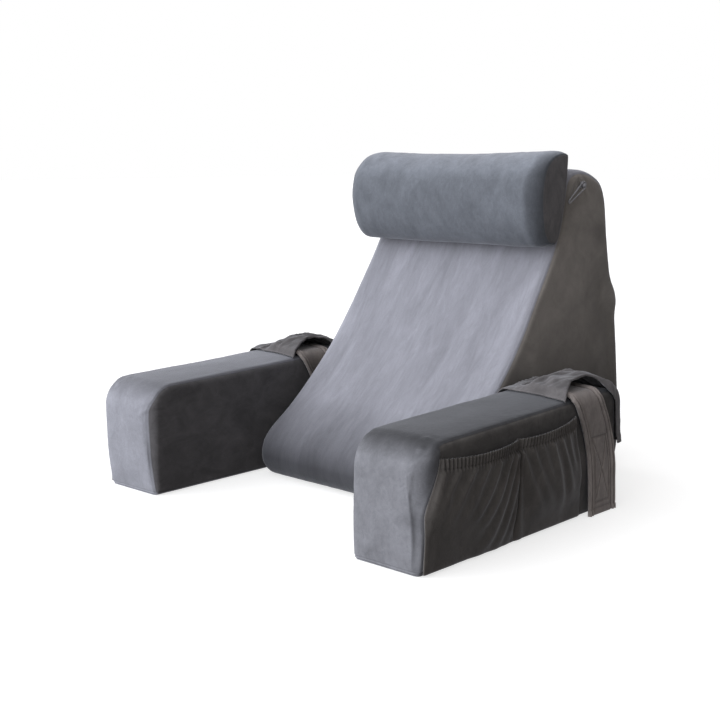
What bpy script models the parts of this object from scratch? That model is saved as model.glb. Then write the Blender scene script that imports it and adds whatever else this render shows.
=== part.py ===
"""Reading pillow set: a wedge back cushion, two armrest cushions and a half-round neck pillow.

Units are metres, +Z up. X runs across the set, +Y towards its back, and the origin is on the
floor under the middle of the whole set. Each cushion is one filled solid; what is sewn or
fitted on it (pockets, hoods, straps, hangers, zip) is a solid of its own.
"""

import math

import bmesh
import bpy
from mathutils import Vector

# ---------------------------------------------------------------- driving dimensions
SEWN_GAP = 0.0004  # between a cushion and what is sewn to it
DRAPE_GAP = 0.0022  # between a cushion and cloth that hangs over its edge

WEDGE_X = 0.0054  # the wedge stands a little right of the set's middle
WEDGE_HALF_WIDTH = 0.247
WEDGE_TAPER = 0.020  # half-width lost for each metre of height
WEDGE_EDGE = 0.018  # roundness where the side panels meet the rest
WEDGE_SIDE_CROWN = 0.002
WEDGE_FACE_CROWN = 0.005
# wedge side outline, from the floor under the toe, up the front, down the back: (y, z)
WEDGE_OUTLINE = (
    (-0.090, 0.000),
    (-0.118, 0.000),
    (-0.146, 0.006),
    (-0.164, 0.028),
    (-0.165, 0.060),
    (-0.146, 0.094),
    (-0.080, 0.148),
    (-0.020, 0.202),
    (0.036, 0.262),
    (0.084, 0.325),
    (0.126, 0.390),
    (0.164, 0.448),
    (0.197, 0.510),
    (0.214, 0.570),
    (0.226, 0.610),
    (0.253, 0.628),
    (0.300, 0.627),
    (0.346, 0.608),
    (0.368, 0.569),
    (0.376, 0.500),
    (0.392, 0.390),
    (0.408, 0.260),
    (0.418, 0.130),
    (0.421, 0.085),
    (0.418, 0.048),
    (0.408, 0.022),
    (0.388, 0.005),
    (0.362, 0.000),
    (0.330, 0.000),
)

NECK_HALF_LENGTH = 0.247
NECK_EDGE = 0.030
NECK_END_DRAW = (0.37, 0.11)  # share by which the end panels are drawn in, in y and z
NECK_BACK_MIDDLE = (0.194, 0.578)
NECK_END_CROWN = 0.004
NECK_SAG = 0.006  # how far the middle of its top sinks
# half-moon end outline, from the bottom of the flat back round the front: (y, z)
NECK_OUTLINE = (
    (0.170, 0.490),
    (0.155, 0.482),
    (0.131, 0.486),
    (0.108, 0.511),
    (0.095, 0.553),
    (0.095, 0.596),
    (0.111, 0.633),
    (0.143, 0.657),
    (0.180, 0.667),
    (0.204, 0.666),
    (0.210, 0.655),
    NECK_BACK_MIDDLE,
)

ARM_LENGTH = 0.560
ARM_WIDTH = 0.157
ARM_HEIGHT = 0.213
ARM_RISE = 0.016  # how much higher the top is at the back
ARM_EDGE = 0.013
ARM_FOOT_TAPER = 0.008  # how far the outer side draws in at its foot
ARM_FRONT_CORNER = 0.056
ARM_FRONT_ROUND = 0.010  # roundness of the front edge on the +X side, at the foot
ARM_REAR_CORNER = 0.030
ARM_REAR_BULGE = 0.016
ARM_SIDE_CROWN = 0.0025
ARM_FACE_CROWN = 0.004
ARM_FRONT_Y = -0.4185
ARM_TURN = math.radians(1.5)  # both arms stand a touch askew, their backs towards -X
RIGHT_ARM_INNER_X = 0.2754
LEFT_ARM_INNER_X = -0.2556
RIGHT_ARM_ROUND = 0.020  # extra roundness of its outer front edge towards the top
LEFT_ARM_ROUND = 0.010  # the same for the left arm's inner one
LEFT_ARM_LEAN = -0.042  # how far it leans out for each metre of height

POCKET_BOTTOM = 0.005
POCKET_TOP = 0.190
POCKET_TOP_RISE = 0.009
POCKET_SAGS = (0.012, 0.004)  # how far the top edge of each compartment hangs
POCKET_SEAMS = (0.006, 0.243, 0.449)  # front, divider and rear seam, along the arm's foot
POCKET_SLANTS = (0.030, -0.014, -0.032)  # how far each has moved at the top band
POCKET_SLANT_FROM = (0.090, 0.0, 0.0)  # the height from which it does
POCKET_CLOTH = 0.0024
POCKET_BAND = 0.016
POCKET_BAND_EXTRA = 0.0012
POCKET_GAPE = 0.021
POCKET_FOLD = 0.0022
POCKET_FOLDS = 6  # in each compartment
POCKET_COLUMNS = 20  # grid cells in each compartment
POCKET_ROWS = 9

STRAP_WIDTH = 0.089
STRAP_START = 0.466  # along the arm, of the strap's front edge at the floor
STRAP_SWAY = 0.060  # how much nearer the front it is on top
STRAP_REACH = 0.060  # how far it lies on the arm's top, under the hood
STRAP_TURN = 0.25  # how fast it turns back there
STRAP_THICKNESS = 0.0045
STRAP_CORD = 0.0028  # extra thickness of its corded edges
STRAP_FLARE = 0.004

HOOD_START = 0.388  # along the arm, of the hood's sewn edge at its open side
HOOD_SLANT = 0.018  # how much further back that edge is at the closed side
HOOD_HEM = 0.125  # the height of its hem, behind the arm
HOOD_CLOTH = 0.0024
HOOD_LIFT = 0.015
HOOD_FALL = 0.008  # how far its closed side comes down the arm, past the rounded edge
HOOD_SHORT = 0.024  # how far its free edge draws back over the strap
HOOD_OVERHANG = 0.010  # how far it stands out behind the strap
HOOD_TAIL = 0.020  # how far it hangs down the arm's side there
HOOD_CREASE = 0.0015

ZIP_Z = 0.366
ZIP_WIDTH = 0.024
ZIP_THICKNESS = 0.0016
ZIP_HALF_LENGTH = 0.226
ZIP_END_LIFT = 0.009

HANGER_Y = 0.262
HANGER_Z = 0.600
HANGER_CORD = 0.0030

COLOURS = {
    "velvet": (0.115, 0.115, 0.130, 1.0),
    "neck": (0.135, 0.150, 0.170, 1.0),
    "trim": (0.085, 0.085, 0.092, 1.0),
    "metal": (0.42, 0.42, 0.43, 1.0),
}


# ---------------------------------------------------------------- scene and materials
def clear_scene():
    for thing in list(bpy.data.objects):
        bpy.data.objects.remove(thing, do_unlink=True)


def make_material(name, colour, roughness=0.9, metallic=0.0):
    material = bpy.data.materials.new(name)
    material.use_nodes = True
    shader = material.node_tree.nodes["Principled BSDF"]
    shader.inputs["Base Color"].default_value = colour
    shader.inputs["Roughness"].default_value = roughness
    shader.inputs["Metallic"].default_value = metallic
    return material


def make_object(name, verts, faces, colour, parent=None, roughness=0.9, metallic=0.0):
    """One closed solid; its faces are turned outwards."""
    mesh = bpy.data.meshes.new(name)
    mesh.from_pydata(verts, [], faces)
    shell = bmesh.new()
    shell.from_mesh(mesh)
    bmesh.ops.recalc_face_normals(shell, faces=shell.faces)
    shell.to_mesh(mesh)
    shell.free()
    mesh.shade_smooth()
    mesh.set_sharp_from_angle(angle=math.radians(50))
    mesh.materials.append(make_material(name, COLOURS[colour], roughness, metallic))
    thing = bpy.data.objects.new(name, mesh)
    bpy.context.collection.objects.link(thing)
    thing.parent = parent
    return thing


# ---------------------------------------------------------------- curves and small helpers
def ramp(value, start, end):
    """0 before start, 1 after end, and smooth between them."""
    share = min(max((value - start) / (end - start), 0.0), 1.0)
    return share * share * (3.0 - 2.0 * share)


def hump(share, power=1.0):
    """0 at both ends of 0..1 and 1 in the middle."""
    return math.sin(math.pi * min(max(share, 0.0), 1.0)) ** power


def smooth_loop(points, steps):
    """A closed curve through the points, kept on or above the floor."""
    curve = []
    count = len(points)
    for i in range(count):
        before, start, end, after = (Vector(points[(i + k - 1) % count]) for k in range(4))
        flat = start.y == 0.0 and end.y == 0.0
        for k in range(1 if flat else steps):
            t = k / steps
            point = 0.5 * (
                2.0 * start
                + (end - before) * t
                + (2.0 * before - 5.0 * start + 4.0 * end - after) * t * t
                + (3.0 * start - before - 3.0 * end + after) * t * t * t
            )
            curve.append(Vector((point.x, max(point.y, 0.0))))
    return curve


def arc(centre, radius, start, end, steps):
    """Points on a circle in the side view, from one angle to another in degrees."""
    points = []
    for k in range(steps + 1):
        angle = math.radians(start + (end - start) * k / steps)
        points.append(centre + radius * Vector((math.cos(angle), math.sin(angle))))
    return points


def outward_normals(outline):
    """The unit normal at each point of an outline that runs clockwise in (y, z)."""
    normals = []
    count = len(outline)
    for i in range(count):
        along = outline[(i + 1) % count] - outline[i - 1]
        normals.append(Vector((-along.y, along.x)).normalized())
    return normals


# ---------------------------------------------------------------- filled cushions
def cushion(
    name, outline, x_low, x_high, edge, face_crown, colour, side=None, parent=None, draw_to=None, draw=None
):
    """A filled body: the side outline is carried across from x_low to x_high, its faces
    crowned between the side seams, and both ends rounded over by edge. side(x, y, z) gives
    the final x of a point of the end panels and what lies between them. draw_to is a point
    that the end panels are drawn in towards by the shares draw, in place of an even inset."""
    edge_steps = 3
    middle_steps = 6
    panel_shares = (0.72, 0.36)
    normals = outward_normals(outline)
    centre = sum(outline, Vector((0.0, 0.0))) / len(outline)

    low = []  # x, inset of the outline, share of the way out from its centre
    for share in reversed(panel_shares):
        low.append((x_low, edge, share))
    for k in range(edge_steps + 1):
        angle = 0.5 * math.pi * k / edge_steps
        inset = edge * (1.0 - math.sin(angle))
        low.append((x_low + edge * (1.0 - math.cos(angle)), inset, 1.0))
    high = [(x_low + x_high - x, inset, share) for x, inset, share in reversed(low)]
    middle = []
    for k in range(1, middle_steps):
        x = x_low + edge + (x_high - x_low - 2.0 * edge) * k / middle_steps
        middle.append((x, 0.0, 1.0))
    stations = low + middle + high

    verts = []
    half = 0.5 * (x_high - x_low)
    for x, inset, share in stations:
        off_centre = (x - 0.5 * (x_low + x_high)) / half
        crown = face_crown * (1.0 - off_centre * off_centre)
        for point, normal in zip(outline, normals):
            above_floor = ramp(point.y, 0.0, 0.05)
            if draw_to is None:
                inward = -normal * inset
            else:
                inward = draw_to - point
                inward = Vector((inward.x * draw.x, inward.y * draw.y)) * inset / edge
            place = point + normal * crown * above_floor + inward
            place = centre + (place - centre) * share
            if point.y == 0.0 and share == 1.0 and inset == 0.0:
                place.y = 0.0
            place_x = side(x, place.x, place.y) if side else x
            verts.append((place_x, place.x, place.y))

    size = len(outline)
    faces = []
    for row in range(len(stations) - 1):
        for i in range(size):
            j = (i + 1) % size
            a, b = row * size, (row + 1) * size
            faces.append((a + i, a + j, b + j, b + i))
    for row, x in ((0, x_low), (len(stations) - 1, x_high)):
        place_x = side(x, centre.x, centre.y) if side else x
        verts.append((place_x, centre.x, centre.y))
        tip = len(verts) - 1
        for i in range(size):
            faces.append((row * size + i, row * size + (i + 1) % size, tip))
    return make_object(name, verts, faces, colour, parent)


# ---------------------------------------------------------------- sheets with a thickness
def sheet(name, inner, outer, colour, parent=None, roughness=0.9, metallic=0.0):
    """A closed solid between two grids of points, each a list of rows."""
    rows, columns = len(inner), len(inner[0])
    verts = [point for row in inner for point in row] + [point for row in outer for point in row]
    base = rows * columns
    faces = []
    for i in range(rows - 1):
        for j in range(columns - 1):
            a = i * columns + j
            quad = (a, a + 1, a + columns + 1, a + columns)
            faces.append(quad)
            faces.append(tuple(base + v for v in reversed(quad)))
    rim = list(range(columns))
    rim += [i * columns + columns - 1 for i in range(1, rows)]
    rim += [(rows - 1) * columns + j for j in range(columns - 2, -1, -1)]
    rim += [i * columns for i in range(rows - 2, 0, -1)]
    for k, a in enumerate(rim):
        b = rim[(k + 1) % len(rim)]
        faces.append((a, b, base + b, base + a))
    return make_object(name, verts, faces, colour, parent, roughness, metallic)


# ---------------------------------------------------------------- wedge and neck pillow
def wedge_side(x, y, z):
    """The wedge narrows upwards, and its side panels are a little crowned."""
    share = abs(x) / WEDGE_HALF_WIDTH
    bulge = WEDGE_SIDE_CROWN * hump(ramp(z, 0.0, 0.6)) * ramp(share, 0.85, 1.0)
    width = WEDGE_HALF_WIDTH - WEDGE_TAPER * z + bulge
    return x / WEDGE_HALF_WIDTH * width


def make_wedge(place):
    outline = smooth_loop(WEDGE_OUTLINE, 2)
    edge, crown = WEDGE_EDGE, WEDGE_FACE_CROWN
    return cushion(
        "wedge_cushion", outline, -WEDGE_HALF_WIDTH, WEDGE_HALF_WIDTH, edge, crown, "velvet",
        wedge_side, place,
    )


def make_neck_pillow(place):
    outline = smooth_loop(NECK_OUTLINE, 3)
    pillow = cushion(
        "neck_pillow", outline, -NECK_HALF_LENGTH, NECK_HALF_LENGTH, NECK_EDGE, 0.0, "neck",
        None, place, Vector(NECK_BACK_MIDDLE), Vector(NECK_END_DRAW),
    )
    top = max(z for y, z in NECK_OUTLINE)
    bottom = min(z for y, z in NECK_OUTLINE)
    for vertex in pillow.data.vertices:
        middle = 1.0 - (vertex.co.x / NECK_HALF_LENGTH) ** 2
        height = ramp(vertex.co.z, 0.5 * (bottom + top), top)
        vertex.co.z -= NECK_SAG * middle * height
        end = ramp(abs(vertex.co.x), NECK_HALF_LENGTH - 0.5 * NECK_EDGE, NECK_HALF_LENGTH)
        rise = hump((vertex.co.z - bottom) / (top - bottom))
        vertex.co.x += math.copysign(NECK_END_CROWN * end * rise, vertex.co.x)
    return pillow


# ---------------------------------------------------------------- arms and what they carry
def arm_top(along):
    return ARM_HEIGHT + ARM_RISE * along / ARM_LENGTH


def arm_outline():
    """Side view of an arm: a long box with a big front corner and a fuller foot behind."""
    front, rear = ARM_FRONT_CORNER, ARM_REAR_CORNER
    foot = 0.012
    points = arc(Vector((foot, foot)), foot, 270, 180, 2)
    points += [Vector((-0.002, 0.07)), Vector((-0.001, 0.12))]
    points += arc(Vector((front, arm_top(front) - front)), front, 180, 90, 6)
    for k in range(1, 8):
        along = front + (ARM_LENGTH - rear - front) * k / 8
        points.append(Vector((along, arm_top(along))))
    points += arc(Vector((ARM_LENGTH - rear, arm_top(ARM_LENGTH) - rear)), rear, 90, 0, 4)
    points += [Vector((ARM_LENGTH + 0.004, 0.13)), Vector((ARM_LENGTH + ARM_REAR_BULGE, 0.07))]
    points += arc(Vector((ARM_LENGTH + ARM_REAR_BULGE - 1.6 * foot, foot)), foot, 0, -90, 2)
    for k in range(1, 6):
        points.append(Vector((ARM_LENGTH * (6 - k) / 6, 0.0)))
    for point in points:
        point.y = 0.0 if point.y < 1e-6 else point.y
    return points


def side_crown(along, z):
    """How far an arm's side panel stands out past its flat width."""
    return ARM_SIDE_CROWN * hump(along / ARM_LENGTH, 0.6) * hump(z / ARM_HEIGHT, 0.8)


def foot_taper(z):
    """How far an arm's outer side is drawn in near the floor."""
    return ARM_FOOT_TAPER * (1.0 - ramp(z, 0.0, 0.12))


class Arm:
    """An arm's place: its objects are built in its own axes, x across and y along it."""

    def __init__(self, side_name, sign, inner_x, roundness, lean):
        self.name = side_name
        self.low, self.high = sorted((0.0, sign * ARM_WIDTH))
        self.outer = sign * ARM_WIDTH
        self.sign = sign
        self.roundness = roundness
        self.lean = lean
        self.place = bpy.data.objects.new("arm_place_" + side_name, None)
        bpy.context.collection.objects.link(self.place)
        self.place.location = (inner_x, ARM_FRONT_Y, 0.0)
        self.place.rotation_euler = (0.0, 0.0, ARM_TURN)

    def finish(self, thing):
        """Leans a finished piece with the arm."""
        for vertex in thing.data.vertices:
            vertex.co.x += self.lean * vertex.co.z

    def front_pull(self, along, z):
        """How far the rounding of the front edge draws in the arm's +X side."""
        radius = ARM_FRONT_ROUND + self.roundness * ramp(z, 0.03, 0.17)
        left = min(max(radius - along, 0.0), radius)
        return radius - math.sqrt(radius ** 2 - left ** 2)

    def side(self, x, along, z):
        middle = 0.5 * (self.low + self.high)
        edge = ramp(abs(x - middle), 0.5 * ARM_WIDTH - ARM_EDGE, 0.5 * ARM_WIDTH)
        outer = ramp(self.sign * (x - middle), 0.0, 0.5 * ARM_WIDTH)
        crown = math.copysign(side_crown(along, z) * edge, x - middle)
        share = max((x - middle) / (0.5 * ARM_WIDTH), 0.0)
        pull = self.front_pull(along, z) * share
        return x + crown - pull - self.sign * foot_taper(z) * outer

    def make_cushion(self):
        thing = cushion(
            "arm_" + self.name, arm_outline(), self.low, self.high, ARM_EDGE,
            ARM_FACE_CROWN, "velvet", self.side, self.place,
        )
        self.finish(thing)

    def make_pocket(self):
        """Two gathered compartments: sewn down at the front, divider, rear and foot, open at
        the elastic top band."""
        inner, outer = [], []
        for row in range(POCKET_ROWS + 1):
            rise = row / POCKET_ROWS
            inner_row, outer_row = [], []
            for part in range(2):
                first = 0 if part == 0 else 1
                for column in range(first, POCKET_COLUMNS + 1):
                    share = column / POCKET_COLUMNS
                    along, z, gape = self.pocket_point(part, share, rise)
                    off = side_crown(along, z) - foot_taper(z) + SEWN_GAP + gape
                    off -= self.front_pull(along, z) if self.sign > 0.0 else 0.0
                    skin = self.outer + self.sign * off
                    band = ramp(z, POCKET_TOP - 2.0 * POCKET_BAND, POCKET_TOP - POCKET_BAND)
                    cloth = POCKET_CLOTH + POCKET_BAND_EXTRA * band
                    inner_row.append((skin, along, z))
                    outer_row.append((skin + self.sign * cloth, along, z))
            inner.append(inner_row)
            outer.append(outer_row)
        self.finish(sheet("pocket_" + self.name, inner, outer, "velvet", self.place))

    def pocket_point(self, part, share, rise):
        """Where a point of the pocket cloth lies: along the arm, height, and its gape."""
        start, end = POCKET_SEAMS[part], POCKET_SEAMS[part + 1]
        top = POCKET_TOP + POCKET_TOP_RISE * ramp(start + (end - start) * share, 0.25, 0.45)
        top -= POCKET_SAGS[part] * hump(share)
        z = POCKET_BOTTOM + (top - POCKET_BOTTOM) * rise
        start += POCKET_SLANTS[part] * ramp(z, POCKET_SLANT_FROM[part], 0.21)
        end += POCKET_SLANTS[part + 1] * ramp(z, POCKET_SLANT_FROM[part + 1], 0.21)
        along = start + (end - start) * share
        belly = hump(share, 0.8)
        gape = POCKET_GAPE * belly * rise ** 0.7
        folds = 0.5 - 0.5 * math.cos(2.0 * math.pi * POCKET_FOLDS * share)
        gape += POCKET_FOLD * folds * belly * hump(0.15 + 0.85 * rise, 0.7)
        return along, z, gape

    def strap_path(self):
        """The strap's run in the arm's cross-section, as (x, z) and outward direction."""
        steps = 5
        path = []
        top = arm_top(STRAP_START + 0.5 * STRAP_WIDTH) + ARM_FACE_CROWN
        corner = ARM_EDGE + 0.004
        for k in range(4):
            x = self.high - corner - STRAP_REACH * (1.0 - k / 4)
            path.append((Vector((x, top + DRAPE_GAP)), Vector((0.0, 1.0))))
        radius = corner + DRAPE_GAP
        for k in range(steps + 1):
            angle = 0.5 * math.pi * (1.0 - k / steps)
            out = Vector((math.cos(angle), math.sin(angle)))
            centre = Vector((self.high + ARM_SIDE_CROWN - corner, top - corner))
            path.append((centre + radius * out, out))
        side_x = self.high + ARM_SIDE_CROWN + DRAPE_GAP
        lowest = 0.0015
        for k in range(1, 9):
            share = k / 8
            z = (top - corner) * (1.0 - share) + lowest * share
            x = side_x + STRAP_FLARE * ramp(share, 0.6, 1.0)
            x -= 0.6 * foot_taper(z) if self.sign > 0.0 else 0.0
            path.append((Vector((x, z)), Vector((1.0, 0.0))))
        return path

    def make_strap(self):
        """A padded band with corded edges that comes out from under the hood."""
        inner, outer = [], []
        shares = (0.0, 0.05, 0.10, 0.16, 0.35, 0.65, 0.84, 0.90, 0.95, 1.0)
        for place, out in self.strap_path():
            inner_row, outer_row = [], []
            sway = STRAP_SWAY * min(place.y / arm_top(STRAP_START), 1.0) ** 2.5
            hidden = max(self.high - ARM_EDGE - place.x, 0.0)
            for share in shares:
                along = STRAP_START - sway + STRAP_TURN * hidden + STRAP_WIDTH * share
                cord = STRAP_CORD * (hump(share / 0.16) + hump((1.0 - share) / 0.16))
                far = place + out * (STRAP_THICKNESS + cord)
                inner_row.append((place.x, along, place.y))
                outer_row.append((far.x, along, far.y))
            inner.append(inner_row)
            outer.append(outer_row)
        self.finish(sheet("strap_" + self.name, inner, outer, "trim", self.place))

    def hood_base(self, run):
        """The arm's top outline under the hood, at a run along it from the hood's front edge:
        the place along the arm, the height, and the outline's direction outwards."""
        radius = ARM_REAR_CORNER
        off = ARM_FACE_CROWN + DRAPE_GAP
        flat = ARM_LENGTH - radius - HOOD_START
        bend = 0.5 * math.pi * (radius + off)
        top = arm_top(ARM_LENGTH)
        if run < flat:
            along = HOOD_START + run
            return along, arm_top(along) + off, Vector((0.0, 1.0))
        if run < flat + bend:
            angle = (run - flat) / (radius + off)
            out = Vector((math.sin(angle), math.cos(angle)))
            centre = Vector((ARM_LENGTH - radius, top - radius))
            place = centre + out * (radius + off)
            return place.x, place.y, out
        z = top - radius - (run - flat - bend)
        bulge = ARM_REAR_BULGE * ramp(z, 0.20, 0.07)
        return ARM_LENGTH + off + bulge, z, Vector((1.0, 0.0))

    def hood_section(self, along, behind):
        """The hood's run across the arm, as x, height over the arm and angle. along is its
        place by the open side, and behind is 1 where it hangs behind the arm."""
        past = ramp(along, 0.500, 0.535)
        bell = hump((along - 0.392) / (0.535 - 0.392))
        corner = ARM_EDGE + 0.006
        closed_x = self.low - ARM_SIDE_CROWN - DRAPE_GAP
        path = []
        for k in range(2):
            path.append((closed_x, -corner - HOOD_FALL * (1.0 - k), 180.0))
        for k in range(1, 4):
            angle = math.radians(180.0 - 90.0 * k / 3)
            x = closed_x + corner + corner * math.cos(angle)
            path.append((x, -corner + corner * math.sin(angle), math.degrees(angle)))
        start_x = closed_x + corner
        end_x = self.high - 0.007 - HOOD_SHORT * bell + (0.007 + HOOD_OVERHANG) * past
        over_strap = 1.4 * DRAPE_GAP + STRAP_THICKNESS + STRAP_CORD
        for k in range(1, 9):
            part = k / 8
            x = start_x + (end_x - start_x) * part
            across = x - self.low
            clear = over_strap * ramp(across, 0.040, 0.074) * ramp(along, HOOD_START, 0.400)
            clear *= 1.0 - 0.9 * ramp(along, 0.515, 0.545)
            lift = HOOD_LIFT * ramp(across, 0.01, 0.11) * (1.0 - 0.4 * ramp(across, 0.115, 0.15))
            lift *= ramp(along, HOOD_START, 0.440) * (1.0 - 0.8 * past) * (1.0 - behind)
            crease = HOOD_CREASE * math.sin(7.0 * math.pi * part + 40.0 * along) * hump(part)
            path.append((x, clear + lift + crease * ramp(along, HOOD_START, 0.42), 90.0))
        lip_x, lip_height, lip_angle = path[-1]
        drop = 0.003 + (HOOD_TAIL - 0.003) * past
        for k in range(1, 4):
            turn = 0.5 * math.pi * k / 3
            x = lip_x + 0.005 * math.sin(turn)
            path.append((x, lip_height - drop * (1.0 - math.cos(turn)), 90.0 - 75.0 * past * k / 3))
        return path

    def make_hood(self):
        """A loose cover over the back of the arm, open towards +X for the strap."""
        steps = 20
        flat = ARM_LENGTH - ARM_REAR_CORNER - HOOD_START
        bend = 0.5 * math.pi * (ARM_REAR_CORNER + ARM_FACE_CROWN + DRAPE_GAP)
        length = flat + bend + arm_top(ARM_LENGTH) - ARM_REAR_CORNER - HOOD_HEM
        inner, outer = [], []
        for k in range(steps + 1):
            run = length * k / steps
            along, z, out = self.hood_base(run)
            behind = out.x
            inner_row, outer_row = [], []
            for x, height, angle in self.hood_section(HOOD_START + run, behind):
                turn = math.radians(angle)
                skew = HOOD_SLANT * (1.0 - (x - self.low) / ARM_WIDTH)
                skew *= 1.0 - ramp(run, 0.0, 0.100)
                near = Vector((x, along + skew + out.x * height, z + out.y * height))
                way = Vector((math.cos(turn), out.x * math.sin(turn), out.y * math.sin(turn)))
                inner_row.append(tuple(near))
                outer_row.append(tuple(near + HOOD_CLOTH * way))
            inner.append(inner_row)
            outer.append(outer_row)
        self.finish(sheet("hood_" + self.name, inner, outer, "velvet", self.place))


# ---------------------------------------------------------------- zip and hangers
def wedge_back(z):
    """The y of the wedge's back at a height, before its crown."""
    back = [point for point in smooth_loop(WEDGE_OUTLINE, 2) if point.x > 0.3 and point.y > 0.01]
    above = min((p for p in back if p.y >= z), key=lambda p: p.y)
    below = max((p for p in back if p.y < z), key=lambda p: p.y)
    share = (z - below.y) / (above.y - below.y)
    return below.x + (above.x - below.x) * share


def zip_surface(x):
    """The y of the back's surface under the zip, which lifts where the zip ends."""
    crown = WEDGE_FACE_CROWN * (1.0 - (x / WEDGE_HALF_WIDTH) ** 2)
    lift = ZIP_END_LIFT * ramp(x, 0.165, ZIP_HALF_LENGTH)
    return wedge_back(ZIP_Z) + crown + lift + 2.0 * SEWN_GAP


def make_zip(place):
    """A zip across the back, with its slider parked at the right-hand end."""
    columns = 24
    inner, outer = [], []
    for row in (0, 1, 2):
        z = ZIP_Z + ZIP_WIDTH * (row - 1) / 2
        slope = (wedge_back(z) - wedge_back(ZIP_Z)) * 1.02
        inner_row, outer_row = [], []
        for k in range(columns + 1):
            x = ZIP_HALF_LENGTH * (2.0 * k / columns - 1.0)
            y = zip_surface(x) + slope + SEWN_GAP
            teeth = ZIP_THICKNESS if row == 1 else 0.5 * ZIP_THICKNESS
            inner_row.append((x, y, z))
            outer_row.append((x, y + 0.5 * ZIP_THICKNESS + teeth, z))
        inner.append(inner_row)
        outer.append(outer_row)
    sheet("zip_tape", inner, outer, "trim", place)

    head = Vector((ZIP_HALF_LENGTH - 0.010, 0.0, ZIP_Z))
    head.y = zip_surface(ZIP_HALF_LENGTH) + 1.5 * ZIP_THICKNESS + 2.0 * SEWN_GAP
    middle = head + Vector((0.0, 0.0025, 0.0))
    block("zip_slider", middle, (0.0085, 0.005, 0.0080), 0.0012, place)
    drop = Vector((0.0, 0.0062, -0.0190))
    block("zip_pull", head + drop, (0.0050, 0.0016, 0.0300), 0.0007, place)


def block(name, centre, size, bevel, parent):
    """A small bevelled metal block."""
    solid = bmesh.new()
    bmesh.ops.create_cube(solid, size=1.0)
    bmesh.ops.scale(solid, vec=size, verts=solid.verts)
    bmesh.ops.translate(solid, vec=centre, verts=solid.verts)
    bmesh.ops.bevel(
        solid, geom=solid.edges[:], offset=bevel, segments=1, affect="EDGES", profile=0.5
    )
    mesh = bpy.data.meshes.new(name)
    solid.to_mesh(mesh)
    solid.free()
    mesh.materials.append(make_material(name, COLOURS["metal"], 0.35, 0.9))
    thing = bpy.data.objects.new(name, mesh)
    bpy.context.collection.objects.link(thing)
    thing.parent = parent


def ring_tube(name, points, radius, sides, colour, parent):
    """A closed loop of cord through the points, all in one plane across X."""
    verts, faces = [], []
    count = len(points)
    for i, point in enumerate(points):
        along = (points[(i + 1) % count] - points[i - 1]).normalized()
        out = along.cross(Vector((1.0, 0.0, 0.0)))
        for k in range(sides):
            angle = 2.0 * math.pi * k / sides
            offset = radius * (math.cos(angle) * out + math.sin(angle) * Vector((1.0, 0.0, 0.0)))
            verts.append(tuple(point + offset))
    for i in range(count):
        for k in range(sides):
            a, b = i * sides, ((i + 1) % count) * sides
            j = (k + 1) % sides
            faces.append((a + k, a + j, b + j, b + k))
    return make_object(name, verts, faces, colour, parent)


def make_hanger(side_name, sign, place):
    """A stitched tab on the wedge's side, its button, and the neck pillow's cord loop."""
    tab_top = 0.625
    skin = WEDGE_HALF_WIDTH - WEDGE_TAPER * HANGER_Z + WEDGE_SIDE_CROWN + SEWN_GAP
    inner, outer = [], []
    for row in range(5):
        z = HANGER_Z - 0.006 + (tab_top - 0.012 - HANGER_Z) * row / 4
        y = HANGER_Y + 0.006 + 0.004 * row / 4
        thick = 0.0022
        inner.append([(sign * skin, y + 0.010 * (c - 0.5), z) for c in (0.0, 0.5, 1.0)])
        outer.append([(sign * (skin + thick), y + 0.010 * (c - 0.5), z) for c in (0.0, 0.5, 1.0)])
    sheet("hanger_tab_" + side_name, inner, outer, "trim", place)

    button = bmesh.new()
    bmesh.ops.create_uvsphere(button, u_segments=10, v_segments=6, radius=0.0050)
    bmesh.ops.scale(button, vec=(0.75, 1.0, 1.0), verts=button.verts)
    centre = Vector((sign * (skin + 0.0026 + 0.0040), HANGER_Y + 0.006, HANGER_Z))
    bmesh.ops.translate(button, vec=centre, verts=button.verts)
    mesh = bpy.data.meshes.new("hanger_button_" + side_name)
    button.to_mesh(mesh)
    button.free()
    mesh.materials.append(make_material(mesh.name, COLOURS["trim"], 0.8))
    thing = bpy.data.objects.new(mesh.name, mesh)
    bpy.context.collection.objects.link(thing)
    thing.parent = place

    start = centre.copy()
    end = Vector((centre.x, 0.2210, 0.5690))
    run = end - start
    across = Vector((0.0, -run.z, run.y)).normalized()
    half = 0.0050 + 0.5 * HANGER_CORD + 0.0006
    points = []
    for tip, facing in ((start, -1.0), (end, 1.0)):
        tip_half = half if tip is start else 0.0030
        for k in range(7):
            angle = math.pi * (k / 6 - 0.5)
            turn = facing * math.cos(angle) * run.normalized() + facing * math.sin(angle) * across
            points.append(tip + tip_half * turn)
    ring_tube("hanger_loop_" + side_name, points, 0.5 * HANGER_CORD, 8, "trim", place)


clear_scene()
wedge_place = bpy.data.objects.new("wedge_place", None)
bpy.context.collection.objects.link(wedge_place)
wedge_place.location = (WEDGE_X, 0.0, 0.0)
make_wedge(wedge_place)
make_neck_pillow(wedge_place)
make_zip(wedge_place)
make_hanger("right", 1.0, wedge_place)
make_hanger("left", -1.0, wedge_place)
right_arm = Arm("right", 1.0, RIGHT_ARM_INNER_X, RIGHT_ARM_ROUND, 0.0)
left_arm = Arm("left", -1.0, LEFT_ARM_INNER_X, LEFT_ARM_ROUND, LEFT_ARM_LEAN)
for arm in (right_arm, left_arm):
    arm.make_cushion()
    arm.make_pocket()
    arm.make_strap()
    arm.make_hood()
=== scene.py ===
"""Looks of the velvet reading pillow set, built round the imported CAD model. Metres, +Z up."""

import itertools
import math

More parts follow.
